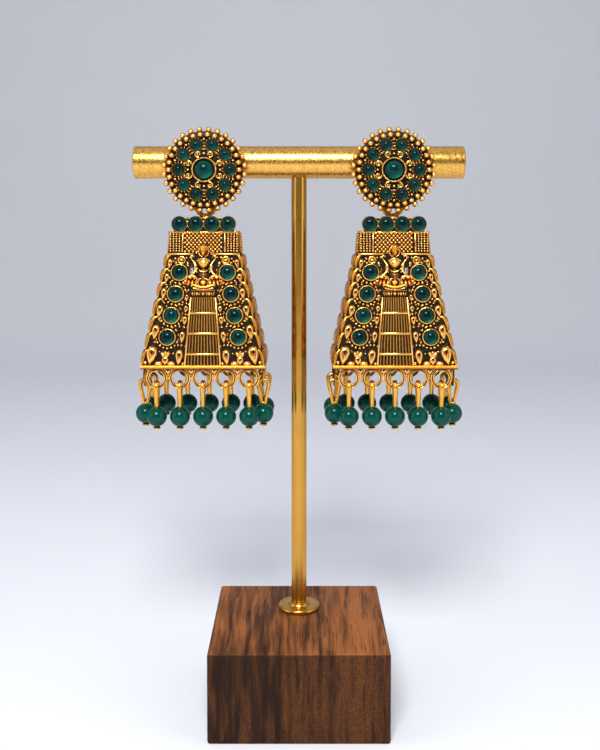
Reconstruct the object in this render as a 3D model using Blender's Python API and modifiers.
# A pair of stud drop earrings on a plain T-bar stand, in metres with +Z up.
# The post of the stand is on the Z axis, and the earrings face -Y.

import math

import bmesh
import bpy
from mathutils import Matrix, Vector

# Stand
BLOCK_WIDTH = 0.044
BLOCK_DEPTH = 0.044
BLOCK_HEIGHT = 0.022
BLOCK_CENTRE_Y = -0.006
BLOCK_EDGE = 0.0005
FOOT_RADIUS = 0.0055
FOOT_HEIGHT = 0.0013
FOOT_COLLAR_RADIUS = 0.0027
FOOT_COLLAR_HEIGHT = 0.0005
POST_RADIUS = 0.002
POST_SOCKET_DEPTH = 0.008
POST_IN_BAR = 0.003
BAR_RADIUS = 0.00425
BAR_LENGTH = 0.086
BAR_HEIGHT = 0.1404
BAR_EDGE = 0.0006
FIT_GAP = 0.0003

# Stud, with its back against the bar
EARRING_X = 0.0242
STUD_BELOW_BAR_AXIS = 0.0022
STUD_DISC_RADIUS = 0.0099
STUD_DISC_THICKNESS = 0.0020
OUTER_GRANULES = 28
OUTER_GRANULE_RADIUS = 0.00085
OUTER_GRANULE_CIRCLE = 0.0102
RIM_RADIUS = 0.0089
RIM_WIDTH = 0.0012
RIM_RISE = 0.0007
STUD_STONES = 10
STUD_STONE_CIRCLE = 0.00655
STUD_STONE_RADIUS = 0.00155
STUD_STONE_RISE = 0.0017
STUD_BEZEL_WALL = 0.00025
STUD_BEZEL_RISE = 0.0007
CENTRE_STONE_RADIUS = 0.00235
CENTRE_STONE_RISE = 0.0022
CENTRE_BEZEL_WALL = 0.0006
CENTRE_BEZEL_RISE = 0.0011
PIN_RADIUS = 0.00045
PIN_HOLE_CLEARANCE = 0.0004
NUT_RADIUS = 0.0023
NUT_THICKNESS = 0.0018
LUG_HOLE_RADIUS = 0.00125
LUG_WIRE = 0.0009

# Drop, hanging from the lug. Heights run down from the hinge axis
HINGE_BELOW_STUD = 0.0058
BAIL_RADIUS = 0.0029
BAIL_WIRE = 0.0009
BAIL_WIDTH = 0.0015
BAIL_SINK = 0.00035
ROOF_BELOW_HINGE = 0.0099
NECK_HEIGHT = 0.0058
PANEL_HEIGHT = 0.0286
ROOF_HALF_WIDTH = 0.0087
WAIST_HALF_WIDTH = 0.0092
HEM_HALF_WIDTH = 0.0156
ROOF_HALF_DEPTH = 0.0046
HEM_HALF_DEPTH = 0.0094
BODY_CENTRE_Y = -0.00025
WALL = 0.0010
BAND_HEIGHT = 0.0008
BAND_RISE = 0.0004

# Crown row of stones over the neck
CROWN_STONES = 4
CROWN_PITCH = 0.00411
CROWN_BELOW_HINGE = 0.0080
CROWN_BEZEL_RADIUS = 0.0021
CROWN_STONE_RADIUS = 0.0018
CROWN_BEZEL_RISE = 0.0009
CROWN_STONE_RISE = 0.0010
CROWN_RAIL_HEIGHT = 0.0030
CROWN_RAIL_DEPTH = 0.0020

# Panel stones: rows up each side of the front
STONE_ROWS = 4
STONE_FIRST_UP = 0.273
STONE_PITCH_UP = 0.1887
STONE_FIRST_ACROSS = 0.646
STONE_ACROSS_STEP = -0.0157
STONE_RADIUS = 0.00180
STONE_RISE = 0.0010
STONE_GIRDLE = 0.0002
STONE_SEAT_GAP = 0.00015
BEZEL_RADIUS = 0.00222
BEZEL_RISE = 0.0007

# Bottom rings and bead drops
RING_OUTER_RADIUS = 0.00275
RING_HOLE_RADIUS = 0.00185
RING_THICKNESS = 0.0009
RING_OVERLAP = 0.0003
RING_STEPS = 10
FRONT_RINGS = 5
RING_PITCH = 0.00582
SIDE_RINGS = 2
SIDE_RING_PITCH = 0.0094
LOOP_WIRE_RADIUS = 0.00045
LINK_GAP = 0.0002
LOOP_LENGTH = 0.0059
LOOP_HALF_WIDTH = 0.0014
BEAD_RADIUS = 0.0025
BEAD_BELOW_RING = 0.0094
CAP_RADIUS = 0.00095
CAP_DROP = 0.0007

# Ladder and figure on the front panel
LADDER_TOP_UP = 0.622
LADDER_TOP_HALF = 0.0031
LADDER_HEM_HALF = 0.0045
LADDER_RUNGS_UP = (0.126, 0.304, 0.483)
RAIL_WIDTH = 0.00065
RUNG_WIDTH = 0.0006
LADDER_RISE = 0.0006
FIGURE_WIDTH = 0.0092
FIGURE_RISE = 0.0014
ARM_RADIUS = 0.0004
NECK_STRIP_ACROSS = 0.60
NECK_STRIP_WIDTH = 0.0005
RELIEF_RISE = 0.0007

# Gaps beside the figure, and the holes behind them
SIDE_GAP_HALF_WIDTH = 0.0005
SIDE_GAP_HALF_HEIGHT = 0.0009
SIDE_GAP_ACROSS = 0.305
SIDE_GAP_UP = 0.857
BACK_HOLE_RADIUS = 0.0019
BACK_HOLE_ACROSS = 0.40
BACK_HOLE_UP = 0.795

# Places worked out from the sizes above
STUD_HEIGHT = BAR_HEIGHT - STUD_BELOW_BAR_AXIS
STUD_BACK_Y = -(BAR_RADIUS + FIT_GAP)
LUG_RADIUS = LUG_HOLE_RADIUS + LUG_WIRE
LUG_SINK = 0.00025
HINGE_Y = STUD_BACK_Y + LUG_RADIUS - LUG_SINK
HINGE_HEIGHT = STUD_HEIGHT - HINGE_BELOW_STUD
ROOF_Z = -ROOF_BELOW_HINGE
WAIST_Z = ROOF_Z - NECK_HEIGHT
HEM_Z = WAIST_Z - PANEL_HEIGHT
DEPTH_SLOPE = (HEM_HALF_DEPTH - ROOF_HALF_DEPTH) / (ROOF_Z - HEM_Z)
RING_Z = HEM_Z - RING_OUTER_RADIUS + RING_OVERLAP

# Rows of teardrops in shares of the panel: height, place across, length and width
TEARDROP_ROUND_SHARE = 0.34
TEARDROP_COLUMNS = ("up", "across", "length", "width")
OUTER_TEARDROPS = (
    (0.913, 0.871, 0.098, 0.044),
    (0.787, 0.876, 0.091, 0.046),
    (0.652, 0.875, 0.108, 0.052),
    (0.498, 0.882, 0.115, 0.063),
    (0.315, 0.879, 0.147, 0.070),
    (0.118, 0.864, 0.176, 0.098),
)
INNER_TEARDROPS = (
    (0.614, 0.351, 0.073, 0.036),
    (0.516, 0.350, 0.066, 0.040),
    (0.414, 0.355, 0.087, 0.046),
    (0.271, 0.375, 0.115, 0.053),
    (0.103, 0.397, 0.150, 0.072),
)

# Round reliefs in shares of the panel: height, place across, half height and half width
BOSS_TOP_SHARE = 0.55
BOSS_COLUMNS = ("up", "across", "half_height", "half_width")
BOSSES = (
    (0.950, 0.588, 0.037, 0.040),
    (0.100, 0.635, 0.052, 0.045),
)

# Leaves stacked up each side face: height and half length in shares of the panel
LEAF_COLUMNS = ("up", "half_length")
SIDE_LEAVES = (
    (0.937, 0.066),
    (0.808, 0.070),
    (0.682, 0.074),
    (0.528, 0.084),
    (0.378, 0.080),
    (0.238, 0.076),
    (0.096, 0.074),
)
LEAF_RISE = 0.0012
LEAF_DEPTH_SHARE = 0.80

# Seated figure in shares of its own width, across from its middle and up from the panel's hem
FIGURE_COLUMNS = ("across", "up", "half_width", "half_height", "rise", "rows")
FIGURE_PARTS = (
    (0.000, 3.206, 0.075, 0.180, 0.80, 3),
    (0.000, 2.875, 0.155, 0.145, 1.00, 4),
    (0.000, 2.600, 0.130, 0.190, 0.85, 3),
    (0.000, 2.345, 0.170, 0.160, 0.95, 3),
    (0.290, 2.330, 0.215, 0.165, 0.80, 3),
    (-0.290, 2.330, 0.215, 0.165, 0.80, 3),
)
ARM_COLUMNS = ("across", "up")
RAISED_ARM = (
    (0.10, 2.69),
    (0.25, 2.60),
    (0.34, 2.78),
    (0.30, 3.02),
)
PEDESTAL_HALF_WIDTH = 0.0030
PEDESTAL_HALF_HEIGHT = 0.0009
PEDESTAL_UP = 0.652
PEDESTAL_RISE = 0.0011

# The wire loop of a bead drop, in shares of its length and half width
LOOP_COLUMNS = ("down", "out")
LOOP_HALF = (
    (0.00, 0.60),
    (0.18, 1.00),
    (1.00, 0.38),
)


def row(columns, values):
    """One row of a table as a dictionary of its named columns."""
    return dict(zip(columns, values))


def clear_scene():
    for obj in list(bpy.data.objects):
        bpy.data.objects.remove(obj, do_unlink=True)


def new_collection(name):
    collection = bpy.data.collections.new(name)
    bpy.context.scene.collection.children.link(collection)
    return collection


def material(name, colour, metallic, roughness):
    made = bpy.data.materials.new(name)
    made.use_nodes = True
    shader = made.node_tree.nodes["Principled BSDF"]
    shader.inputs["Base Color"].default_value = (*colour, 1.0)
    shader.inputs["Metallic"].default_value = metallic
    shader.inputs["Roughness"].default_value = roughness
    return made


# Closed shapes, each added to a list of meshes that gathers them

def absorb(gathered, shape, matrix):
    """Adds a closed shape to the gathered ones, placed by a matrix."""
    bmesh.ops.recalc_face_normals(shape, faces=shape.faces)
    mesh = bpy.data.meshes.new("shape")
    shape.to_mesh(mesh)
    shape.free()
    mesh.transform(matrix)
    gathered.append(mesh)


def add_box(gathered, sides, matrix):
    shape = bmesh.new()
    bmesh.ops.create_cube(shape, size=1.0, matrix=Matrix.Diagonal((*sides, 1.0)))
    absorb(gathered, shape, matrix)


def add_cylinder(gathered, radius, low, high, matrix, sides):
    """A cylinder along local Z, from low to high."""
    shape = bmesh.new()
    bmesh.ops.create_cone(
        shape, cap_ends=True, segments=sides, radius1=radius, radius2=radius, depth=high - low,
        matrix=Matrix.Translation((0, 0, (low + high) / 2)),
    )
    absorb(gathered, shape, matrix)


def add_ball(gathered, radii, matrix, sides, rows, sink=None):
    """An ellipsoid with its poles on local Y. Its lower half may be flatter, as deep as its sink."""
    shape = bmesh.new()
    turn = Matrix.Rotation(math.radians(90), 4, "X")
    bmesh.ops.create_uvsphere(shape, u_segments=sides, v_segments=rows, radius=1.0, matrix=turn)
    for vertex in shape.verts:
        below = vertex.co.z < 0 and sink is not None
        vertex.co.x *= radii[0]
        vertex.co.y *= radii[1]
        vertex.co.z *= sink if below else radii[2]
    absorb(gathered, shape, matrix)


def add_granule(gathered, radius, matrix):
    shape = bmesh.new()
    bmesh.ops.create_uvsphere(shape, u_segments=4, v_segments=2, radius=radius)
    absorb(gathered, shape, matrix)


def add_teardrop(gathered, length, width, rise, matrix):
    """A drop that is round at the top and pointed at the bottom, sunk as deep as its rise."""
    shape = bmesh.new()
    bmesh.ops.create_cone(
        shape, cap_ends=True, segments=6, radius1=1.0, radius2=0.0, depth=2.0,
        matrix=Matrix.Rotation(math.radians(30), 4, "Z"),
    )
    for vertex in shape.verts:
        share = TEARDROP_ROUND_SHARE if vertex.co.y > 0 else 1 - TEARDROP_ROUND_SHARE
        vertex.co.x *= width / 2
        vertex.co.z *= rise
        vertex.co.y = (vertex.co.y * share + 0.5 - TEARDROP_ROUND_SHARE) * length
    absorb(gathered, shape, matrix)


def add_boss(gathered, half_width, half_height, rise, matrix):
    """A low round relief, sunk half a wall deep."""
    shape = bmesh.new()
    depth = rise + WALL / 2
    lift = Matrix.Translation((0, 0, (rise - WALL / 2) / 2))
    bmesh.ops.create_cone(
        shape, cap_ends=True, segments=6, radius1=1.0, radius2=BOSS_TOP_SHARE, depth=1.0,
        matrix=lift @ Matrix.Diagonal((half_width, half_height, depth, 1.0)),
    )
    absorb(gathered, shape, matrix)


def add_turned(gathered, profile, steps, matrix, first_angle=0.0, closed=False):
    """A profile of (radius, height) turned round local Z. A closed profile makes a ring."""
    shape = bmesh.new()
    points = [shape.verts.new((radius, 0.0, height)) for radius, height in profile]
    pairs = list(zip(points, points[1:]))
    if closed:
        pairs.append((points[-1], points[0]))
    edges = [shape.edges.new(pair) for pair in pairs]
    bmesh.ops.rotate(
        shape, verts=points, cent=(0, 0, 0), matrix=Matrix.Rotation(first_angle, 3, "Z")
    )
    bmesh.ops.spin(
        shape, geom=points + edges, cent=(0, 0, 0), axis=(0, 0, 1), dvec=(0, 0, 0),
        angle=2 * math.pi, steps=steps, use_merge=True,
    )
    bmesh.ops.remove_doubles(shape, verts=shape.verts, dist=1e-6)
    absorb(gathered, shape, matrix)


def add_ring(gathered, inner, outer, low, high, steps, matrix, first_angle=0.0):
    """A flat ring round local Z."""
    profile = ((inner, low), (outer, low), (outer, high), (inner, high))
    add_turned(gathered, profile, steps, matrix, first_angle, closed=True)


def add_loft(gathered, sections, matrix):
    """A closed body through rectangles of (half width, half depth, depth centre, height)."""
    shape = bmesh.new()
    loops = []
    for half_width, half_depth, centre, height in sections:
        corners = ((-1, -1), (1, -1), (1, 1), (-1, 1))
        loops.append([
            shape.verts.new((x * half_width, centre + y * half_depth, height)) for x, y in corners
        ])
    for lower, upper in zip(loops, loops[1:]):
        for i in range(4):
            j = (i + 1) % 4
            shape.faces.new((lower[i], lower[j], upper[j], upper[i]))
    shape.faces.new(loops[0])
    shape.faces.new(loops[-1])
    absorb(gathered, shape, matrix)


def add_wire(gathered, points, radius, matrix, cyclic=False):
    """A round wire through points, six sides."""
    curve = bpy.data.curves.new("wire", "CURVE")
    curve.dimensions = "3D"
    curve.bevel_depth = radius
    curve.bevel_resolution = 1
    curve.use_fill_caps = True
    spline = curve.splines.new("POLY")
    spline.points.add(len(points) - 1)
    for place, point in zip(spline.points, points):
        place.co = (*point, 1.0)
    spline.use_cyclic_u = cyclic
    wire = bpy.data.objects.new("wire", curve)
    bpy.context.scene.collection.objects.link(wire)
    graph = bpy.context.evaluated_depsgraph_get()
    mesh = bpy.data.meshes.new_from_object(wire.evaluated_get(graph))
    shape = bmesh.new()
    shape.from_mesh(mesh)
    bmesh.ops.remove_doubles(shape, verts=shape.verts, dist=1e-6)
    absorb(gathered, shape, matrix)
    bpy.data.objects.remove(wire, do_unlink=True)
    bpy.data.curves.remove(curve)
    bpy.data.meshes.remove(mesh)


def object_of(name, gathered, collection):
    """An object of the one shape that was gathered."""
    made = bpy.data.objects.new(name, gathered[0])
    collection.objects.link(made)
    return made


def boolean(body, helper, operation, solver="EXACT"):
    """A Boolean on the body, with the helper kept out of the renders."""
    helper.hide_render = True
    helper.display_type = "WIRE"
    modifier = body.modifiers.new(operation.title() + " " + helper.name, "BOOLEAN")
    modifier.operation = operation
    modifier.solver = solver
    modifier.object = helper


def joined(body, gathered, operation, solver="EXACT"):
    """Gives the body its mesh after a Boolean with each gathered shape in turn."""
    helpers = []
    for mesh in gathered:
        helper = object_of(body.name + "_helper", [mesh], cutters)
        boolean(body, helper, operation, solver)
        helpers.append(helper)
    graph = bpy.context.evaluated_depsgraph_get()
    mesh = bpy.data.meshes.new_from_object(body.evaluated_get(graph))
    body.modifiers.clear()
    body.data = mesh
    for helper in helpers:
        bpy.data.objects.remove(helper, do_unlink=True)


def smooth(mesh):
    mesh.shade_smooth()
    mesh.set_sharp_from_angle(angle=math.radians(35))


def place(name, mesh, location, rotation, paint, parent=None):
    """A named piece that may share its mesh with others."""
    made = bpy.data.objects.new(name, mesh)
    made.location = location
    made.rotation_euler = rotation
    made.data.materials.clear()
    made.data.materials.append(paint)
    if parent:
        made.parent = parent
    parts.objects.link(made)
    return made


def pattern_mesh(body):
    """Takes the finished mesh from a pattern object and removes the object."""
    mesh = body.data
    bpy.data.objects.remove(body, do_unlink=True)
    smooth(mesh)
    return mesh


def turned_to(axis_from, axis_to):
    return Vector(axis_from).rotation_difference(Vector(axis_to)).to_matrix().to_4x4()


# Stand

def build_block():
    bpy.ops.mesh.primitive_cube_add(size=1.0, location=(0, BLOCK_CENTRE_Y, BLOCK_HEIGHT / 2))
    block = bpy.context.object
    block.name = "stand_block"
    block.data.transform(Matrix.Diagonal((BLOCK_WIDTH, BLOCK_DEPTH, BLOCK_HEIGHT, 1.0)))
    move_to_parts(block, walnut)
    rounding = block.modifiers.new("Edges", "BEVEL")
    rounding.width = BLOCK_EDGE
    rounding.segments = 1
    socket = []
    add_cylinder(
        socket, POST_RADIUS + FIT_GAP, BLOCK_HEIGHT - POST_SOCKET_DEPTH - FIT_GAP,
        2 * BLOCK_HEIGHT, Matrix.Identity(4), 12,
    )
    boolean(block, object_of("post_socket", socket, cutters), "DIFFERENCE")


def move_to_parts(obj, paint):
    for collection in obj.users_collection:
        collection.objects.unlink(obj)
    parts.objects.link(obj)
    obj.data.materials.append(paint)


def build_foot():
    """A flange on the block, with a collar round the post."""
    low = BLOCK_HEIGHT + FIT_GAP
    rounding = FOOT_HEIGHT * 0.3
    hole = POST_RADIUS + FIT_GAP
    profile = (
        (hole, low),
        (FOOT_RADIUS - rounding, low),
        (FOOT_RADIUS, low + rounding),
        (FOOT_RADIUS, low + FOOT_HEIGHT - rounding),
        (FOOT_RADIUS - rounding, low + FOOT_HEIGHT),
        (FOOT_COLLAR_RADIUS, low + FOOT_HEIGHT),
        (FOOT_COLLAR_RADIUS, low + FOOT_HEIGHT + FOOT_COLLAR_HEIGHT),
        (hole, low + FOOT_HEIGHT + FOOT_COLLAR_HEIGHT),
    )
    shape = []
    add_turned(shape, profile, 16, Matrix.Identity(4), closed=True)
    foot = object_of("foot", shape, parts)
    place("stand_foot", pattern_mesh(foot), (0, 0, 0), (0, 0, 0), bright_gold)


def build_post():
    shape = []
    low = BLOCK_HEIGHT - POST_SOCKET_DEPTH
    high = BAR_HEIGHT - BAR_RADIUS + POST_IN_BAR
    add_cylinder(shape, POST_RADIUS, low, high, Matrix.Identity(4), 12)
    post = object_of("post", shape, parts)
    place("stand_post", pattern_mesh(post), (0, 0, 0), (0, 0, 0), bright_gold)


def build_bar():
    """A round bar along X, with a socket for the post and a hole for each earring's pin."""
    shape = []
    half = BAR_LENGTH / 2
    profile = (
        (0, -half),
        (BAR_RADIUS - BAR_EDGE, -half),
        (BAR_RADIUS, -half + BAR_EDGE),
        (BAR_RADIUS, half - BAR_EDGE),
        (BAR_RADIUS - BAR_EDGE, half),
        (0, half),
    )
    along_x = turned_to((0, 0, 1), (1, 0, 0))
    add_turned(shape, profile, 16, along_x)
    bar = object_of("bar", shape, parts)
    holes = []
    add_cylinder(
        holes, POST_RADIUS + FIT_GAP, -2 * BAR_RADIUS, POST_IN_BAR + FIT_GAP - BAR_RADIUS,
        Matrix.Identity(4), 12,
    )
    along_y = turned_to((0, 0, 1), (0, 1, 0))
    for side in (-1, 1):
        centre = Matrix.Translation((side * EARRING_X, 0, -STUD_BELOW_BAR_AXIS))
        hole_radius = PIN_RADIUS + PIN_HOLE_CLEARANCE
        add_cylinder(holes, hole_radius, -2 * BAR_RADIUS, 2 * BAR_RADIUS, centre @ along_y, 8)
    joined(bar, holes, "DIFFERENCE")
    place("stand_bar", pattern_mesh(bar), (0, 0, BAR_HEIGHT), (0, 0, 0), satin_gold)


# Stud, modelled face up: local Z points to the front and local Y points up

def stud_mesh():
    base = []
    add_cylinder(base, STUD_DISC_RADIUS, 0.0, STUD_DISC_THICKNESS, Matrix.Identity(4), 24)
    body = object_of("stud_disc", base, parts)
    added = []
    for i in range(OUTER_GRANULES):
        angle = 2 * math.pi * (i + 0.5) / OUTER_GRANULES
        turn = Matrix.Rotation(angle, 4, "Z")
        seat = Matrix.Translation((OUTER_GRANULE_CIRCLE, 0, STUD_DISC_THICKNESS * 0.55))
        add_granule(added, OUTER_GRANULE_RADIUS, turn @ seat)
    add_rim(added)
    for i in range(STUD_STONES):
        angle = 2 * math.pi * (i + 0.5) / STUD_STONES + math.pi / 2
        add_stud_stone(added, Matrix.Rotation(angle, 4, "Z"))
    bezel_hole = CENTRE_STONE_RADIUS + STONE_SEAT_GAP
    add_ring(
        added, bezel_hole, bezel_hole + CENTRE_BEZEL_WALL, STUD_DISC_THICKNESS / 2,
        STUD_DISC_THICKNESS + CENTRE_BEZEL_RISE, 12, Matrix.Identity(4),
    )
    add_lug(added)
    add_pin(added)
    joined(body, added, "UNION", "MANIFOLD")
    return pattern_mesh(body)


def add_rim(added):
    top = STUD_DISC_THICKNESS + RIM_RISE
    profile = (
        (RIM_RADIUS - RIM_WIDTH / 2, STUD_DISC_THICKNESS / 2),
        (RIM_RADIUS + RIM_WIDTH / 2, STUD_DISC_THICKNESS / 2),
        (RIM_RADIUS, top),
    )
    add_turned(added, profile, 20, Matrix.Identity(4), closed=True)


def add_stud_stone(added, turn):
    """A small cabochon in its bezel."""
    face = STUD_DISC_THICKNESS
    outer = STUD_STONE_RADIUS + STUD_BEZEL_WALL
    profile = (
        (0, face / 2),
        (outer, face / 2),
        (outer, face + STUD_BEZEL_RISE),
        (STUD_STONE_RADIUS * 0.7, face + STUD_STONE_RISE * 0.8),
        (0, face + STUD_STONE_RISE),
    )
    add_turned(added, profile, 6, turn @ Matrix.Translation((STUD_STONE_CIRCLE, 0, 0)))


def add_lug(added):
    """The ring on the back of the stud that the bail hangs in."""
    centre = Matrix.Translation((0, -HINGE_BELOW_STUD, -(LUG_RADIUS - LUG_SINK)))
    along_x = turned_to((0, 0, 1), (1, 0, 0))
    add_ring(added, LUG_HOLE_RADIUS, LUG_RADIUS, -LUG_WIRE / 2, LUG_WIRE / 2, 10, centre @ along_x)


def add_pin(added):
    """The hidden pin through the bar, with its nut behind."""
    nut_front = -(2 * BAR_RADIUS + 2 * FIT_GAP)
    nut_back = nut_front - NUT_THICKNESS
    add_cylinder(added, PIN_RADIUS, nut_back - PIN_RADIUS, STUD_DISC_THICKNESS / 2, Matrix.Identity(4), 6)
    add_cylinder(added, NUT_RADIUS, nut_back, nut_front, Matrix.Identity(4), 8)


def cabochon_mesh(radius, rise, girdle, sides):
    """A loose cabochon, flat below, with its base at local zero."""
    shape = []
    profile = (
        (0, 0),
        (radius, 0),
        (radius, girdle),
        (radius * 0.65, girdle + (rise - girdle) * 0.75),
        (0, rise),
    )
    add_turned(shape, profile, sides, Matrix.Identity(4))
    return pattern_mesh(object_of("cabochon", shape, parts))


# Drop, modelled with its origin on the hinge axis

def half_width_at(height):
    """Half width of the body at a height under the hinge."""
    if height > WAIST_Z:
        share = (height - WAIST_Z) / NECK_HEIGHT
        return WAIST_HALF_WIDTH + (ROOF_HALF_WIDTH - WAIST_HALF_WIDTH) * share
    share = (height - HEM_Z) / PANEL_HEIGHT
    return HEM_HALF_WIDTH + (WAIST_HALF_WIDTH - HEM_HALF_WIDTH) * share


def half_depth_at(height):
    return ROOF_HALF_DEPTH + (ROOF_Z - height) * DEPTH_SLOPE


def section(height, growth=0.0):
    return (half_width_at(height) + growth, half_depth_at(height) + growth, BODY_CENTRE_Y, height)


def panel_height(up):
    """Height under the hinge of a share of the front panel, from its hem."""
    return HEM_Z + up * PANEL_HEIGHT


def on_front(x, height, out=0.0, lean=0.0):
    """A frame on the front face: local X along it, Y up it, and Z out of it."""
    tilt = math.atan(DEPTH_SLOPE)
    y = BODY_CENTRE_Y - half_depth_at(height)
    upright = Matrix.Rotation(math.radians(90) - tilt, 4, "X")
    turn = Matrix.Rotation(lean, 4, "Z")
    return Matrix.Translation((x, y, height)) @ upright @ turn @ Matrix.Translation((0, 0, out))


def panel_place(up, across, lean=0.0):
    height = panel_height(up)
    return on_front(across * half_width_at(height), height, lean=lean)


def outer_shell_sections():
    """Sections of the body, with a raised band at the hem and at the waist."""
    step = BAND_HEIGHT * 0.06
    found = [section(HEM_Z, BAND_RISE), section(HEM_Z + BAND_HEIGHT, BAND_RISE)]
    found.append(section(HEM_Z + BAND_HEIGHT + step))
    low = WAIST_Z - BAND_HEIGHT / 2
    found += [section(low - step), section(low, BAND_RISE), section(low + BAND_HEIGHT, BAND_RISE)]
    found += [section(low + BAND_HEIGHT + step), section(ROOF_Z)]
    return found


def inner_shell_sections():
    mouth = (HEM_HALF_WIDTH - WALL, HEM_HALF_DEPTH - WALL, BODY_CENTRE_Y, HEM_Z - WALL)
    return [mouth, section(HEM_Z, -WALL), section(WAIST_Z, -WALL), section(ROOF_Z - WALL, -WALL)]


def side_lean(across):
    """How far a relief leans to follow the slanted side of the panel."""
    return math.atan((HEM_HALF_WIDTH - WAIST_HALF_WIDTH) / PANEL_HEIGHT) * across


def add_teardrops(added):
    for values in OUTER_TEARDROPS + INNER_TEARDROPS:
        drop = row(TEARDROP_COLUMNS, values)
        for side in (-1, 1):
            across = side * drop["across"]
            at = panel_place(drop["up"], across, lean=side_lean(across))
            add_teardrop(
                added, drop["length"] * PANEL_HEIGHT, drop["width"] * PANEL_HEIGHT, RELIEF_RISE, at
            )


def add_bosses(added):
    for values in BOSSES:
        boss = row(BOSS_COLUMNS, values)
        for side in (-1, 1):
            at = panel_place(boss["up"], side * boss["across"])
            half_width = boss["half_width"] * PANEL_HEIGHT
            half_height = boss["half_height"] * PANEL_HEIGHT
            add_boss(added, half_width, half_height, RELIEF_RISE, at)


def add_side_leaves(added):
    """Leaves that bulge from the slanted side faces and scallop the outline."""
    for values in SIDE_LEAVES:
        leaf = row(LEAF_COLUMNS, values)
        height = panel_height(leaf["up"])
        half_depth = half_depth_at(height) * LEAF_DEPTH_SHARE
        for side in (-1, 1):
            centre = Matrix.Translation((side * half_width_at(height), BODY_CENTRE_Y, height))
            outward = turned_to((0, 0, 1), (side * math.cos(side_lean(1.0)), 0, math.sin(side_lean(1.0))))
            half_length = leaf["half_length"] * PANEL_HEIGHT
            add_boss(added, half_length, half_depth, LEAF_RISE, centre @ outward)


def stone_places():
    """Places of the panel stones, from the hem upwards, left side and then right side."""
    found = []
    for side in (-1, 1):
        for i in range(STONE_ROWS):
            up = STONE_FIRST_UP + STONE_PITCH_UP * i
            across = STONE_FIRST_ACROSS + STONE_ACROSS_STEP * i
            found.append(panel_place(up, side * across))
    return found


def add_bezels(added):
    for at in stone_places():
        add_cylinder(added, BEZEL_RADIUS, -WALL / 2, BEZEL_RISE, at, 10)


def add_crown_row(added):
    """A rail on the roof with its row of bezelled cabochons."""
    centre_z = -CROWN_BELOW_HINGE
    front = BODY_CENTRE_Y - ROOF_HALF_DEPTH
    rail_top = centre_z + CROWN_RAIL_HEIGHT / 2
    rail_bottom = ROOF_Z - WALL / 2
    rail_y = front + CROWN_RAIL_DEPTH / 2 + BAND_RISE
    half = CROWN_PITCH * (CROWN_STONES - 1) / 2 + CROWN_BEZEL_RADIUS * 0.75
    rail_middle = (rail_top + rail_bottom) / 2
    rail_sides = (2 * half, CROWN_RAIL_DEPTH, rail_top - rail_bottom)
    add_box(added, rail_sides, Matrix.Translation((0, rail_y, rail_middle)))
    profile = (
        (0, -CROWN_RAIL_DEPTH / 2),
        (CROWN_BEZEL_RADIUS, -CROWN_RAIL_DEPTH / 2),
        (CROWN_BEZEL_RADIUS, CROWN_BEZEL_RISE),
        (CROWN_STONE_RADIUS * 0.7, CROWN_BEZEL_RISE + CROWN_STONE_RISE * 0.7),
        (0, CROWN_BEZEL_RISE + CROWN_STONE_RISE),
    )
    forward = turned_to((0, 0, 1), (0, -1, 0))
    for i in range(CROWN_STONES):
        x = CROWN_PITCH * (i - (CROWN_STONES - 1) / 2)
        at = Matrix.Translation((x, front, centre_z)) @ forward
        add_turned(added, profile, 8, at, first_angle=math.radians(22.5))


def add_bail(added):
    """The wide ring that hangs in the stud's lug, and its seat on the roof."""
    forward = turned_to((0, 0, 1), (0, -1, 0))
    at = Matrix.Translation((0, 0, -BAIL_RADIUS)) @ forward
    inner = BAIL_RADIUS - BAIL_WIRE / 2
    outer = BAIL_RADIUS + BAIL_WIRE / 2
    add_ring(added, inner, outer, -BAIL_WIDTH / 2, BAIL_WIDTH / 2, 16, at)
    seat_top = -(BAIL_RADIUS + outer) + BAIL_SINK
    seat_bottom = ROOF_Z - WALL / 2
    seat = Matrix.Translation((0, 0, (seat_top + seat_bottom) / 2))
    add_box(added, (BAIL_RADIUS * 1.2, BAIL_WIDTH * 1.5, seat_top - seat_bottom), seat)


def bar_between(added, start, end, width):
    """A flat bar of the front relief between two (x, height) places."""
    first = on_front(*start).translation
    last = on_front(*end).translation
    middle = on_front((start[0] + end[0]) / 2, (start[1] + end[1]) / 2)
    along = last - first
    local = middle.to_3x3().inverted() @ along
    turn = Matrix.Rotation(math.atan2(local.y, local.x), 4, "Z")
    add_box(added, (along.length, width, 2 * LADDER_RISE), middle @ turn)


def add_ladder(added):
    hem = panel_height(0) + BAND_HEIGHT / 2
    top = panel_height(LADDER_TOP_UP)
    for side in (-1, 1):
        bar_between(added, (side * LADDER_HEM_HALF, hem), (side * LADDER_TOP_HALF, top), RAIL_WIDTH)
    for up in LADDER_RUNGS_UP:
        height = panel_height(up)
        share = (height - hem) / (top - hem)
        half = LADDER_HEM_HALF + (LADDER_TOP_HALF - LADDER_HEM_HALF) * share
        bar_between(added, (-half, height), (half, height), RUNG_WIDTH)


def add_neck_strips(added):
    low = WAIST_Z + BAND_HEIGHT / 4
    high = ROOF_Z - BAND_HEIGHT / 2
    for side in (-1, 1):
        x = side * NECK_STRIP_ACROSS * ROOF_HALF_WIDTH
        bar_between(added, (x, low), (x, high), NECK_STRIP_WIDTH)


def figure_place(across, up, out=0.0):
    return on_front(across * FIGURE_WIDTH, HEM_Z + up * FIGURE_WIDTH, out)


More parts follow.
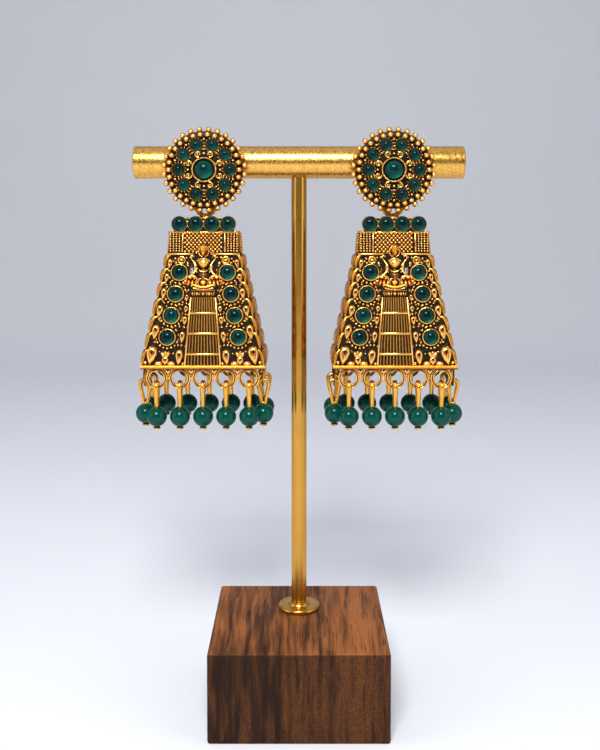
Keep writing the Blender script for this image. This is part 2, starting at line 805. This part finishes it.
def add_figure(added):
    """A traditional seated figure with raised arms, on a lotus pedestal."""
    for values in FIGURE_PARTS:
        piece = row(FIGURE_COLUMNS, values)
        radii = (
            piece["half_width"] * FIGURE_WIDTH,
            piece["half_height"] * FIGURE_WIDTH,
            piece["rise"] * FIGURE_RISE,
        )
        at = figure_place(piece["across"], piece["up"])
        add_ball(added, radii, at, sides=6, rows=piece["rows"], sink=WALL / 2)
    for side in (-1, 1):
        points = []
        for values in RAISED_ARM:
            joint = row(ARM_COLUMNS, values)
            at = figure_place(side * joint["across"], joint["up"], RELIEF_RISE / 2)
            points.append(at.translation)
        add_wire(added, points, ARM_RADIUS, Matrix.Identity(4))
    thickness = PEDESTAL_RISE + WALL / 2
    at = on_front(0, panel_height(PEDESTAL_UP), (PEDESTAL_RISE - WALL / 2) / 2)
    add_box(added, (2 * PEDESTAL_HALF_WIDTH, 2 * PEDESTAL_HALF_HEIGHT, thickness), at)


def ring_places():
    """Frames of the bottom rings: local Z along the ring's axis, local Y up."""
    half_depth = half_depth_at(HEM_Z) - WALL / 2
    half_width = half_width_at(HEM_Z) - WALL / 2
    found = []
    for face in (-1, 1):
        y = BODY_CENTRE_Y + face * half_depth
        for i in range(FRONT_RINGS):
            x = RING_PITCH * (i - (FRONT_RINGS - 1) / 2)
            found.append((Vector((x, y, RING_Z)), 0.0))
    for side in (-1, 1):
        for i in range(SIDE_RINGS):
            y = BODY_CENTRE_Y + SIDE_RING_PITCH * (i - (SIDE_RINGS - 1) / 2)
            found.append((Vector((side * half_width, y, RING_Z)), math.radians(90)))
    return found


def add_rings(added):
    along_y = turned_to((0, 0, 1), (0, 1, 0))
    for centre, turn in ring_places():
        at = Matrix.Translation(centre) @ Matrix.Rotation(turn, 4, "Z") @ along_y
        add_ring(
            added, RING_HOLE_RADIUS, RING_OUTER_RADIUS, -RING_THICKNESS / 2, RING_THICKNESS / 2,
            RING_STEPS, at, first_angle=math.pi / RING_STEPS,
        )


def see_through_holes():
    """The two small gaps beside the figure, and the larger ones behind them."""
    holes = []
    along_y = turned_to((0, 0, 1), (0, 1, 0))
    for side in (-1, 1):
        height = panel_height(SIDE_GAP_UP)
        y = BODY_CENTRE_Y - half_depth_at(height)
        x = side * SIDE_GAP_ACROSS * half_width_at(height)
        stretch = Matrix.Diagonal((SIDE_GAP_HALF_WIDTH, SIDE_GAP_HALF_HEIGHT, 1.0, 1.0))
        at = Matrix.Translation((x, y, height)) @ along_y @ stretch
        add_cylinder(holes, 1.0, -3 * WALL, 2 * WALL, at, 6)
        height = panel_height(BACK_HOLE_UP)
        y = BODY_CENTRE_Y + half_depth_at(height)
        x = side * BACK_HOLE_ACROSS * half_width_at(height)
        at = Matrix.Translation((x, y, height)) @ along_y
        add_cylinder(holes, BACK_HOLE_RADIUS, -2 * WALL, 2 * WALL, at, 8)
    return holes


def drop_frame_mesh():
    outer = []
    add_loft(outer, outer_shell_sections(), Matrix.Identity(4))
    body = object_of("drop_shell", outer, parts)
    hollow = []
    add_loft(hollow, inner_shell_sections(), Matrix.Identity(4))
    joined(body, hollow, "DIFFERENCE")
    reliefs = (
        add_teardrops, add_bosses, add_side_leaves, add_bezels, add_crown_row, add_bail,
        add_ladder, add_neck_strips, add_figure, add_rings,
    )
    added = []
    for add_relief in reliefs:
        add_relief(added)
    joined(body, added, "UNION", "MANIFOLD")
    joined(body, see_through_holes(), "DIFFERENCE", "MANIFOLD")
    return pattern_mesh(body)


# Bead drop, modelled with its origin at its ring's centre: the loop lies in the local YZ plane

def bead_drop_mesh():
    shape = []
    centre = Matrix.Translation((0, 0, -BEAD_BELOW_RING))
    add_ball(shape, (BEAD_RADIUS, BEAD_RADIUS, BEAD_RADIUS), centre, sides=10, rows=5)
    body = object_of("bead", shape, parts)
    added = []
    rest = RING_HOLE_RADIUS * math.cos(math.pi / RING_STEPS)
    top = -rest + LINK_GAP + LOOP_WIRE_RADIUS
    right = []
    for values in LOOP_HALF:
        point = row(LOOP_COLUMNS, values)
        right.append((0, point["out"] * LOOP_HALF_WIDTH, top - point["down"] * LOOP_LENGTH))
    left = [(0, -y, z) for _, y, z in reversed(right)]
    add_wire(added, right + left, LOOP_WIRE_RADIUS, Matrix.Identity(4), cyclic=True)
    bead_bottom = -BEAD_BELOW_RING - BEAD_RADIUS
    add_cylinder(
        added, CAP_RADIUS, bead_bottom - CAP_DROP, bead_bottom + CAP_RADIUS / 2,
        Matrix.Identity(4), 6,
    )
    joined(body, added, "UNION")
    return pattern_mesh(body)


def build_earrings():
    stud = stud_mesh()
    centre_stone = cabochon_mesh(CENTRE_STONE_RADIUS, CENTRE_STONE_RISE, CENTRE_BEZEL_RISE, 12)
    frame = drop_frame_mesh()
    stone = cabochon_mesh(STONE_RADIUS, STONE_RISE, STONE_GIRDLE, 10)
    bead_drop = bead_drop_mesh()
    facing = (math.radians(90), 0, 0)
    for side, name in ((-1, "left"), (1, "right")):
        x = side * EARRING_X
        place(name + "_stud", stud, (x, STUD_BACK_Y, STUD_HEIGHT), facing, antique_gold)
        stone_y = STUD_BACK_Y - STUD_DISC_THICKNESS - STONE_SEAT_GAP
        place(
            name + "_stud_centre_stone", centre_stone, (x, stone_y, STUD_HEIGHT), facing, green_stone
        )
        hinge = bpy.data.objects.new(name + "_hinge", None)
        hinge.location = (x, HINGE_Y, HINGE_HEIGHT)
        parts.objects.link(hinge)
        place(name + "_drop_frame", frame, (0, 0, 0), (0, 0, 0), antique_gold, hinge)
        for i, at in enumerate(stone_places(), start=1):
            seated = at @ Matrix.Translation((0, 0, BEZEL_RISE + STONE_SEAT_GAP))
            place(
                f"{name}_panel_stone_{i}", stone, seated.translation, seated.to_euler(),
                green_stone, hinge,
            )
        for i, (centre, turn) in enumerate(ring_places(), start=1):
            place(f"{name}_bead_drop_{i}", bead_drop, centre, (0, 0, turn), green_bead, hinge)


clear_scene()
parts = new_collection("Earring pair on stand")
cutters = new_collection("Cutters")
walnut = material("Walnut", (0.16, 0.075, 0.035), 0.0, 0.5)
bright_gold = material("Bright gold", (0.85, 0.52, 0.14), 1.0, 0.22)
satin_gold = material("Satin gold", (0.86, 0.58, 0.20), 1.0, 0.35)
antique_gold = material("Antique gold", (0.75, 0.42, 0.11), 1.0, 0.32)
green_stone = material("Green stone", (0.0, 0.12, 0.09), 0.0, 0.08)
green_bead = material("Green bead", (0.0, 0.10, 0.07), 0.0, 0.15)
build_block()
build_foot()
build_post()
build_bar()
build_earrings()
